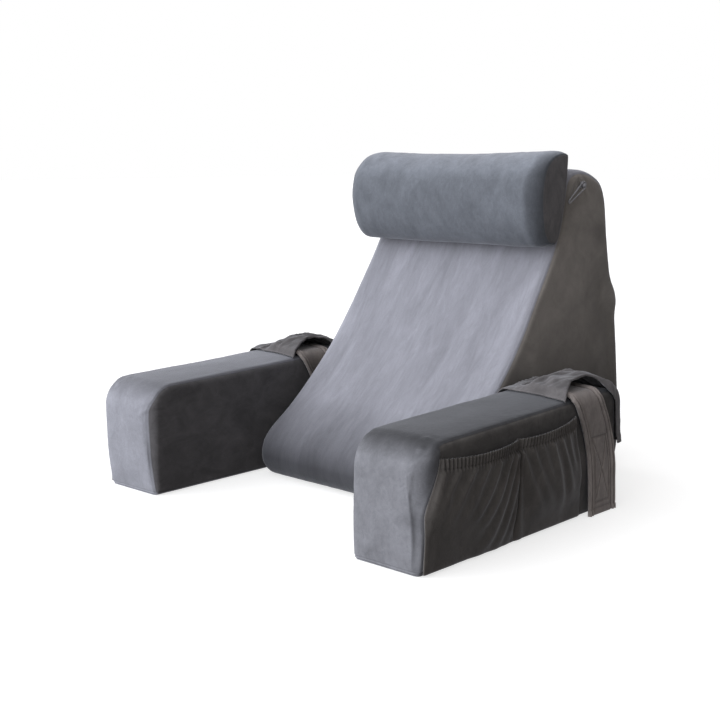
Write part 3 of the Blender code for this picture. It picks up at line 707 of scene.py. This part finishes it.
def arm_outline():
    """(along, z) from the front's foot up over the top and down the back."""
    front, rear = ARM_FRONT_CORNER, ARM_REAR_CORNER
    foot = 0.012
    points = arc((foot, foot), foot, 270, 180, 2)
    points += [(-0.002, 0.07), (-0.001, 0.12)]
    points += arc((front, arm_top(front) - front), front, 180, 90, 6)
    for k in range(1, 8):
        along = front + (ARM_LENGTH - rear - front) * k / 8
        points.append((along, arm_top(along)))
    points += arc((ARM_LENGTH - rear, arm_top(ARM_LENGTH) - rear), rear, 90, 0, 4)
    points += [(ARM_LENGTH + 0.004, 0.13), (ARM_LENGTH + ARM_REAR_BULGE, 0.07)]
    points += arc((ARM_LENGTH + ARM_REAR_BULGE - 1.6 * foot, foot), foot, 0, -90, 2)
    points += [(ARM_LENGTH * (6 - k) / 6, 0.0) for k in range(1, 6)]
    return [(y, 0.0 if z < 1e-6 else z) for y, z in points]


def side_crown(along, z):
    return ARM_SIDE_CROWN * hump(along / ARM_LENGTH, 0.6) * hump(z / ARM_HEIGHT, 0.8)


def foot_taper(z):
    return ARM_FOOT_TAPER * (1.0 - ramp(z, 0.0, 0.12))


def pocket_seam(number, z):
    """Where along the arm a pocket's seam stands at a height."""
    slant = ramp(z, POCKET_SLANT_FROM[number], POCKET_SLANT_TO)
    return POCKET_SEAMS[number] + POCKET_SLANTS[number] * slant


class Arm:
    """An arm and what it carries, made in its own axes: x across and y along it."""

    def __init__(self, row):
        self.name, self.sign, self.inner_x, self.roundness, self.lean = row
        self.outer = self.sign * ARM_WIDTH
        self.low, self.high = sorted((0.0, self.outer))
        self.seed = 20 if self.sign > 0.0 else 40

    def place(self, verts):
        c, s = math.cos(ARM_TURN), math.sin(ARM_TURN)
        across = verts[..., 0] + self.lean * verts[..., 2]
        x = c * across - s * verts[..., 1] + self.inner_x
        y = s * across + c * verts[..., 1] + ARM_FRONT_Y
        return stacked(x, y, verts[..., 2])

    def front_pull(self, along, z):
        """How far the rounding of the front edge draws in the arm's +X side."""
        radius = ARM_FRONT_ROUND + self.roundness * ramp(z, 0.03, 0.17)
        left = np.clip(radius - along, 0.0, radius)
        return radius * (left / radius) ** FRONT_ROUND_POWER

    def side(self, x, along, z):
        middle = 0.5 * (self.low + self.high)
        edge = ramp(np.abs(x - middle), 0.5 * ARM_WIDTH - ARM_EDGE, 0.5 * ARM_WIDTH)
        outer = ramp(self.sign * (x - middle), 0.0, 0.5 * ARM_WIDTH)
        crown = np.copysign(side_crown(along, z) * edge, x - middle)
        share = np.maximum((x - middle) / (0.5 * ARM_WIDTH), 0.0)
        pull = self.front_pull(along, z) * share
        return x + crown - pull - self.sign * foot_taper(z) * outer

    def border(self, points, seam):
        """On the side with the pockets, the front cloth reaches back to their front seam."""
        along, z = points[..., 1], points[..., 2]
        front = pocket_seam(0, z) + 0.002 - along
        outside = self.sign * points[..., 0] > 0.8 * ARM_WIDTH
        return np.where(outside, np.maximum(seam, front), seam)

    def relief(self, points, seam, run):
        strip = ramp(seam, -0.002, 0.02)
        broad = 0.0012 * noise(points, (0.06, 0.09, 0.07), self.seed)
        panel = 0.0010 * noise(points, (0.2, 0.05, 0.05), self.seed + 1) * (1.0 - strip)
        foot = -0.0012 * line(points[..., 2] - 0.0075, 0.0013)
        sewn = seam_relief(seam, run, seed=self.seed)
        return sewn + broad * strip + panel + foot + self.tucks(points)

    def tucks(self, points):
        """Folds where the cloth bunches at the front's top corners."""
        top = ARM_HEIGHT + ARM_FACE_CROWN
        high = self.outer - self.sign * 0.006
        low = self.sign * 0.012
        folds = 0.0
        for back, down, inward, end_back, end_down, height in CORNER_TUCKS:
            start = (high, back, top - down)
            end = (high - self.sign * inward, end_back, top - end_down)
            folds = folds + crease(points, start, end, height, 0.0040)
        for k in range(4):
            start = (low - self.sign * 0.008, 0.012 + 0.011 * k, top - 0.040 + 0.010 * k)
            end_x = low + self.sign * (0.030 - 0.003 * k)
            end = (end_x, -0.002 + 0.014 * k, top - 0.060 + 0.017 * k)
            folds = folds + crease(points, start, end, 0.0013, 0.0032)
        return folds

    def make_cushion(self, cloth):
        piece = cushion(
            "arm_cover_" + self.name, arm_outline(), self.low, self.high, ARM_EDGE,
            ARM_FACE_CROWN, cloth, self.side, self.relief, SPACING, border=self.border,
            place=self.place,
        )
        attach(piece, "root")
        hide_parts("arm_" + self.name)

    def pocket_folds(self, part, share, rise, length):
        """How far the gathered folds of one compartment stand out."""
        total = 0.0
        for k, (start, bend, end, height) in enumerate(POCKET_FOLDS[part]):
            near = np.clip((start[1] - rise) / (start[1] - bend[1]), 0.0, 1.0)
            far = np.clip((bend[1] - rise) / (bend[1] - end[1]), 0.0, 1.0)
            centre = start[0] + (bend[0] - start[0]) * near + (end[0] - bend[0]) * far
            centre = centre + 0.006 * noise_along(rise, 0.25, self.seed + k)
            fade = ramp(rise, end[1] - 0.12, end[1] + 0.16)
            gap = (share - centre) * length
            width = 0.0066 + 0.0120 * (start[1] - rise)
            shape = line(gap, width) + 0.35 * line(gap, 2.8 * width)
            total = total + FOLD_GAIN * height * fade * shape
        return total

    def pocket_grid(self, part, columns, heights):
        """One compartment's cloth: its place along the arm, height and stand-off, as grids."""
        share, rise = np.meshgrid(np.linspace(0, 1, columns), heights)
        start, end = POCKET_SEAMS[part], POCKET_SEAMS[part + 1]
        rise_share = ramp(start + (end - start) * share, 0.25, 0.45)
        top = POCKET_TOP + POCKET_TOP_RISE * rise_share - POCKET_SAGS[part] * hump(share)
        z = POCKET_BOTTOM + (top - POCKET_BOTTOM) * rise
        first, last = pocket_seam(part, z), pocket_seam(part + 1, z)
        along = first + (last - first) * share
        gape = POCKET_GAPE * hump(share, 0.8) * rise ** 0.7

        below = top - z
        body = ramp(below, POCKET_BAND, POCKET_BAND + 0.010)
        folds = self.pocket_folds(part, share, rise, end - start)
        folds = folds + 0.0008 * noise_along(along + 0.3 * z, 0.020, self.seed + 3)
        wave = along / RIB_PITCH + 0.25 * noise_along(along, 0.03, self.seed + 5)
        gathered = 1.0 - ramp(below, POCKET_BAND - 0.003, POCKET_BAND + 0.012)
        ribs = RIB_HEIGHT * np.cos(2.0 * np.pi * wave) * gathered
        stitch = -0.0012 * line(below - POCKET_BAND, 0.0014)
        gape = gape + folds * body + ribs + 0.0012 * (1.0 - body) + stitch
        pinned = np.minimum(ramp(share, 0.0, 0.025), ramp(1.0 - share, 0.0, 0.025))
        from_divider = 1.0 - share if part == 0 else share
        loose = 0.007 * rise ** 5 * (1.0 - ramp(from_divider, 0.0, 0.5))
        return along, z, np.maximum(gape, 0.0004) * pinned + loose

    def make_pocket(self, cloth):
        columns = 200
        heights = np.concatenate([np.linspace(0.0, 0.88, 44), np.linspace(0.89, 1.0, 12)])
        first = self.pocket_grid(0, columns, heights)
        second = self.pocket_grid(1, columns, heights)
        along, z, gape = (np.hstack([a, b[:, 1:]]) for a, b in zip(first, second))
        off = side_crown(along, z) - foot_taper(z) + SEWN_GAP + gape
        if self.sign > 0.0:
            off = off - self.front_pull(along, z)
        skin = self.outer + self.sign * off
        inner = stacked(skin, along, z)
        outer = stacked(skin + self.sign * POCKET_CLOTH, along, z)
        piece = sheet("pocket_cloth_" + self.name, self.place(inner), self.place(outer), cloth)
        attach(piece, "root")
        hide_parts("pocket_" + self.name)

    def strap_run(self):
        """The strap's run in the arm's cross-section, as points and outward directions."""
        top = arm_top(STRAP_START + 0.5 * STRAP_WIDTH) + ARM_FACE_CROWN
        corner = ARM_EDGE + 0.004
        radius = corner + DRAPE_GAP
        points, out = [], []
        for k in range(20):
            points.append((self.high - corner - STRAP_REACH * (1.0 - k / 20), top + DRAPE_GAP))
            out.append((0.0, 1.0))
        for k in range(15):
            angle = 0.5 * math.pi * (1.0 - k / 14)
            way = (math.cos(angle), math.sin(angle))
            centre = (self.high + ARM_SIDE_CROWN - corner, top - corner)
            points.append((centre[0] + radius * way[0], centre[1] + radius * way[1]))
            out.append(way)
        side_x = self.high + ARM_SIDE_CROWN + DRAPE_GAP
        for k in range(1, 91):
            share = k / 90
            z = (top - corner) * (1.0 - share) + 0.0015 * share
            x = side_x + STRAP_FLARE * ramp(share, 0.6, 1.0)
            x -= 0.6 * foot_taper(z) if self.sign > 0.0 else 0.0
            points.append((x, z))
            out.append((1.0, 0.0))
        return np.array(points), np.array(out)

    def make_strap(self, cloth):
        run, out = self.strap_run()
        share = np.linspace(0.0, 1.0, 81)[None, :]
        z = run[:, 1][:, None]
        sway = STRAP_SWAY * np.minimum(z / arm_top(STRAP_START), 1.0) ** 2.5
        hidden = np.maximum(self.high - ARM_EDGE - run[:, 0], 0.0)[:, None]
        along = STRAP_START - sway + STRAP_TURN * hidden + STRAP_WIDTH * share
        from_edge = np.minimum(share, 1.0 - share) * STRAP_WIDTH
        outer_cord, inner_cord = (line(from_edge - place, 0.0024) for place in STRAP_CORDS)
        outer_groove = line(from_edge - STRAP_GROOVES[0], 0.0013)
        inner_groove = line(from_edge - STRAP_GROOVES[1], 0.0015)
        cord = STRAP_CORD * (outer_cord + 0.9 * inner_cord)
        cord = cord - 0.0026 * (outer_groove + inner_groove)
        pad = 0.8 * STRAP_THICKNESS * ramp(from_edge, -0.004, 0.003)
        pad = pad + 0.0008 * noise(stacked(0.0, along, z), 0.03, self.seed)
        box = self.cross_stitch(share, z, run)
        hem = 0.0010 * (1.0 - ramp(z, 0.010, 0.012)) - 0.0010 * line(z - 0.013, 0.0012)
        thick = np.maximum(pad + cord + box + hem, 0.0012)
        inner = stacked(run[:, 0][:, None], along, z)
        outer = inner.copy()
        outer[..., 0] += out[:, 0][:, None] * thick
        outer[..., 2] += out[:, 1][:, None] * thick
        piece = sheet("strap_band_" + self.name, self.place(inner), self.place(outer), cloth)
        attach(piece, "root")
        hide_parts("strap_" + self.name)

    def cross_stitch(self, share, z, run):
        """Grooves of a stitched box with a cross in it."""
        low, high = STITCH_BOX
        left, right = STITCH_SHARES
        tall = (z - low) / (high - low)
        wide = (share - left) / (right - left)
        on_side = (run[:, 0] > self.high)[:, None]
        inside = on_side & (tall > -0.02) & (tall < 1.02) & (wide > -0.04) & (wide < 1.04)
        width = (right - left) * STRAP_WIDTH
        height = high - low
        slope = math.hypot(width, height)
        distances = (
            (wide - tall) * width * height / slope,
            (1.0 - wide - tall) * width * height / slope,
            wide * width, (1.0 - wide) * width, tall * height, (1.0 - tall) * height,
        )
        grooves = [line(distance + 0.0 * (wide + tall), 0.0017) for distance in distances]
        return -STITCH_DEPTH * np.maximum.reduce(grooves) * inside

    def hood_base(self, run):
        """The arm's top outline under the hood: place along the arm, height, and its direction
        outwards, at a run from the hood's front edge."""
        if run < HOOD_FLAT:
            return HOOD_START + run, arm_top(HOOD_START + run) + HOOD_OFF, (0.0, 1.0)
        low = arm_top(ARM_LENGTH) - ARM_REAR_CORNER
        if run < HOOD_FLAT + HOOD_BEND:
            radius = ARM_REAR_CORNER + HOOD_OFF
            angle = (run - HOOD_FLAT) / radius
            out = (math.sin(angle), math.cos(angle))
            return ARM_LENGTH - ARM_REAR_CORNER + out[0] * radius, low + out[1] * radius, out
        z = low - (run - HOOD_FLAT - HOOD_BEND)
        along = ARM_LENGTH + HOOD_OFF + ARM_REAR_BULGE * float(ramp(z, 0.20, 0.07))
        return along, z, (1.0, 0.0)

    def hood_section(self, along, behind):
        """The hood's run across the arm, as x, height over the arm and angle."""
        past = float(ramp(along, *HOOD_BEHIND))
        bell = float(hump((along - HOOD_BELL_START) / (HOOD_BEHIND[1] - HOOD_BELL_START)))
        corner = ARM_EDGE + 0.006
        closed_x = self.low - ARM_SIDE_CROWN - DRAPE_GAP
        path = [(closed_x, -corner - HOOD_FALL * (1.0 - k / 4), 180.0) for k in range(4)]
        for k in range(11):
            angle = 180.0 - 9.0 * k
            x = closed_x + corner + corner * math.cos(math.radians(angle))
            path.append((x, -corner + corner * math.sin(math.radians(angle)), angle))
        start_x = closed_x + corner
        end_x = self.high - HOOD_LIP - HOOD_SHORT * bell + HOOD_LIP * past
        over_strap = 1.4 * DRAPE_GAP + STRAP_THICKNESS + STRAP_CORD
        for k in range(1, 57):
            part = k / 56
            x = start_x + (end_x - start_x) * part
            across = x - self.low
            clear = over_strap * ramp(across, 0.040, 0.074) * ramp(along, HOOD_START, 0.400)
            clear *= 1.0 - 0.9 * ramp(along, 0.515, 0.545)
            lift = HOOD_LIFT * ramp(across, 0.01, 0.11) * (1.0 - 0.4 * ramp(across, 0.115, 0.15))
            lift *= ramp(along, HOOD_START, 0.440) * (1.0 - 0.8 * past) * (1.0 - behind)
            wave = HOOD_CREASE * math.sin(7.0 * math.pi * part + 40.0 * along) * hump(part)
            path.append((x, clear + lift + wave * ramp(along, HOOD_START, 0.42), 90.0))
        lip_x, lip_height, _ = path[-1]
        drop = 0.003 + (HOOD_TAIL - 0.003) * past
        for k in range(1, 13):
            turn = 0.5 * math.pi * k / 12
            x = lip_x + 0.005 * math.sin(turn)
            height = lip_height - drop * (1.0 - math.cos(turn))
            path.append((x, height, 90.0 - 75.0 * past * k / 12))
        return path

    def make_hood(self, cloth):
        rows = 90
        length = HOOD_FLAT + HOOD_BEND + arm_top(ARM_LENGTH) - ARM_REAR_CORNER - HOOD_HEM
        inner, way, flat_place = [], [], []
        for k in range(rows + 1):
            run = length * k / rows
            along, z, out = self.hood_base(run)
            for x, height, angle in self.hood_section(HOOD_START + run, out[0]):
                turn = math.radians(angle)
                skew = HOOD_SLANT * (1.0 - (x - self.low) / ARM_WIDTH)
                skew = skew * (1.0 - ramp(run, 0.0, 0.1))
                inner.append((x, along + skew + out[0] * height, z + out[1] * height))
                way.append((math.cos(turn), out[0] * math.sin(turn), out[1] * math.sin(turn)))
                flat_place.append((x - self.low, run + skew, 0.0))
        grids = [np.array(a).reshape(rows + 1, -1, 3) for a in (inner, way, flat_place)]
        inner, way, flat_place = grids
        stand = self.hood_wrinkles(flat_place, length)
        inner = inner + way * stand[..., None]
        outer = inner + way * HOOD_CLOTH
        piece = sheet("hood_cloth_" + self.name, self.place(inner), self.place(outer), cloth)
        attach(piece, "root")
        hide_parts("hood_" + self.name)

    def hood_wrinkles(self, place, length):
        """Folds that run back from the sewn front edge, a hem at the back, and a seam in front."""
        x, run = place[..., 0], place[..., 1]
        slant = stacked(x - 0.45 * run, run + 0.3 * x, 0.0)
        ridges = 1.0 - 2.2 * np.abs(noise(slant, (0.022, 0.080, 1.0), self.seed + 9))
        small = 1.0 - 2.0 * np.abs(noise(slant, (0.010, 0.035, 1.0), self.seed + 10))
        strength = ramp(run, 0.004, 0.024) * (1.0 - 0.7 * ramp(run, 0.10, 0.20))
        stand = 0.0046 * np.maximum(ridges, 0.0) ** 1.3 + 0.0012 * np.maximum(small, 0.0)
        stand = strength * stand + 0.0012 * line(run - 0.006, 0.0035)
        hem = ramp(run, length - 0.016, length - 0.014) - line(run - length + 0.017, 0.0013)
        sewn = -0.0018 * (1.0 - ramp(run, 0.0, 0.012)) - 0.0006 * line(run - 0.011, 0.0022)
        return np.maximum(stand + 0.0008 * hem, 0.0) + sewn


# ---------------- zip teeth
TOOTH_PITCH = 0.0022
TOOTH_HALF_SIZE = (0.0007, 0.0008, 0.0018)
TOOTH_OFFSET = 0.0009  # of each row from the coil's middle
TOOTH_FACES = (
    (0, 1, 3, 2), (4, 6, 7, 5), (0, 4, 5, 1), (2, 3, 7, 6), (0, 2, 6, 4), (1, 5, 7, 3),
)


def make_zip_teeth(cloth):
    """The zip's coil: two rows of small closed teeth along the middle of the tape."""
    low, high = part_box("zip_tape")
    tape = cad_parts["zip_tape"]
    co = np.array([v.co[:] for v in tape.data.vertices])
    middle = co[np.abs(co[:, 2] - ZIP_Z) < 0.002]
    middle = middle[np.argsort(middle[:, 0])]
    verts, faces = [], []
    for k in range(int((high[0] - low[0] - 0.016) / TOOTH_PITCH)):
        x = low[0] + 0.004 + TOOTH_PITCH * k
        near = middle[np.abs(middle[:, 0] - x) < 0.024]
        weight = np.clip(1.0 - np.abs(near[:, 0] - x) / 0.020, 0.0, 1.0)
        y = float(np.sum(weight * near[:, 1]) / np.sum(weight)) + 0.5 * ZIP_THICKNESS
        place = (x, y, ZIP_Z + TOOTH_OFFSET * (1.0 if k % 2 else -1.0))
        faces += [tuple(len(verts) + v for v in face) for face in TOOTH_FACES]
        for corner in itertools.product((-1.0, 1.0), repeat=3):
            verts.append([c + s * d for c, s, d in zip(place, TOOTH_HALF_SIZE, corner)])
    piece = make_piece("zip_teeth", verts, faces, cloth)
    piece.data.shade_flat()
    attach(piece, "root")


# ---------------- camera, light and floor
CAMERA_PLACE = (1.6274, -1.7915, 0.653)
CAMERA_TURN = math.radians(44.125)
CAMERA_DROP = math.radians(9.432)
CAMERA_LENS = 60.76
KEY_WAY = Vector((-0.56, -0.82, 0.12)).normalized()
WARM, COOL, WHITE = (1.0, 0.95, 0.91), (0.95, 0.97, 1.0), (1.0, 1.0, 1.0, 1.0)
FLOOR_REACH = 30.0
FLOOR_GREY = (0.46, 0.46, 0.46, 1.0)
FLOOR_GLOW = 0.67  # brings the paper up to the photo's white


def make_camera():
    data = bpy.data.cameras.new("camera")
    data.sensor_width = 36.0
    data.lens = CAMERA_LENS
    camera = bpy.data.objects.new("camera", data)
    bpy.context.collection.objects.link(camera)
    camera.location = CAMERA_PLACE
    level = math.cos(CAMERA_DROP)
    way = (-math.sin(CAMERA_TURN) * level, math.cos(CAMERA_TURN) * level, -math.sin(CAMERA_DROP))
    camera.rotation_mode = "QUATERNION"
    camera.rotation_quaternion = Vector(way).to_track_quat("-Z", "Y")
    bpy.context.scene.camera = camera


def make_studio():
    """A white studio: one big soft light from the front and left, and a pale floor."""
    bpy.context.scene.view_settings.view_transform = "Standard"
    world = bpy.data.worlds.new("studio")
    bpy.context.scene.world = world
    world.use_nodes = True
    sky = Nodes(world.node_tree)
    place = sky.add("TexCoord", output="Generated")
    toward = sky.add("VectorMath", {0: place, 1: KEY_WAY}, "Value", operation="DOT_PRODUCT")
    glow = sky.span(toward, 0.0, 1.0, 0.46, 3.7, "SMOOTHSTEP")
    above = sky.span(sky.add("SeparateXYZ", {0: place}, "Z"), -0.35, 0.02, 0.30, 1.0)
    light = world.node_tree.nodes["Background"]
    sky.join(sky.mix(sky.span(toward, -0.6, 0.6), WARM, COOL), light.inputs["Color"])
    sky.join(sky.times(glow, above), light.inputs["Strength"])
    white = sky.add("Background", {"Color": WHITE, "Strength": 1.0})
    seen = sky.add("LightPath", output="Is Camera Ray")
    pick = sky.add("MixShader", {"Fac": seen, 1: light.outputs["Background"], 2: white})
    sky.join(pick, world.node_tree.nodes["World Output"].inputs["Surface"])

    signs = ((-1, -1), (1, -1), (1, 1), (-1, 1))
    corners = [(FLOOR_REACH * x, FLOOR_REACH * y, 0.0) for x, y in signs]
    paper = Shader("floor", Roughness=0.9, Base_Color=FLOOR_GREY, Emission_Color=WHITE,
                   Emission_Strength=FLOOR_GLOW)
    floor = make_piece("floor", corners, [(0, 1, 2, 3)], paper.material)
    floor.visible_diffuse = floor.visible_shadow = floor.visible_glossy = False


make_camera()
make_studio()

# Each strip colour stands lighter than its panel colour partly as painted light on fronts that
# face the light, and partly for pile that lies another way; toe, top, flank and climb paint light
# and shade as well.
wedge_velvet = velvet(
    "velvet_wedge", (0.190, 0.191, 0.218), (0.125, 0.115, 0.107), 0.060, (1.0, 0.24, 0.24), 0.15,
    toe=0.22, climb=(0.72, 1.50),
)
neck_velvet = velvet(
    "velvet_neck", (0.094, 0.101, 0.117), (0.078, 0.074, 0.077), 0.045, (1.0, 1.0, 0.6), 0.15,
    top=1.55, flank=0.62,
)
# one velvet in two copies: the right arm's is the shaded copy, its darker colours, lower top and
# flank and weaker sheen painting the shade it stands in, beside the left arm's lit copy
arm_velvets = {
    "right": velvet(
        "velvet_arm_right", (0.148, 0.149, 0.165), (0.056, 0.052, 0.050), 0.050, (1.0, 0.6, 0.8),
        0.16, top=0.22, flank=0.42, sheen=0.24,
    ),
    "left": velvet(
        "velvet_arm_left", (0.200, 0.202, 0.229), (0.064, 0.061, 0.064), 0.050, (1.0, 0.6, 0.8),
        0.12, top=0.56, flank=0.75,
    ),
}
pocket_velvet = velvet(
    "velvet_pocket", (0.053, 0.048, 0.045), None, 0.040, (1.0, 1.0, 0.6), 0.18, top=0.30,
)
hood_velvet = velvet("velvet_hood", (0.078, 0.073, 0.075), None, 0.040, (1.0, 1.0, 1.0), 0.18)
strap_velvet = velvet("velvet_strap", (0.152, 0.134, 0.127), None, 0.030, (1.0, 1.0, 0.5), 0.18)
cord_weave = woven("cord_weave", (0.260, 0.260, 0.280), 0.0016)
tape_weave = woven("tape_weave", (0.060, 0.058, 0.062), 0.0012)
teeth_finish = woven("zip_teeth", (0.075, 0.073, 0.078), 0.0010)
zip_metal = metal("zip_metal", (0.35, 0.35, 0.36))

make_wedge(wedge_velvet)
make_neck_pillow(neck_velvet)
for row in ARMS:
    arm = Arm(row)
    arm.make_cushion(arm_velvets[arm.name])
    arm.make_pocket(pocket_velvet)
    arm.make_strap(strap_velvet)
    arm.make_hood(hood_velvet)
make_zip_teeth(teeth_finish)
for node, finish in (("zip_tape", tape_weave), ("zip_slider", zip_metal), ("zip_pull", zip_metal)):
    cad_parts[node].material_slots[0].material = finish
for kind, side_name in itertools.product(("tab", "button", "loop"), ("right", "left")):
    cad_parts["hanger_" + kind + "_" + side_name].material_slots[0].material = cord_weave
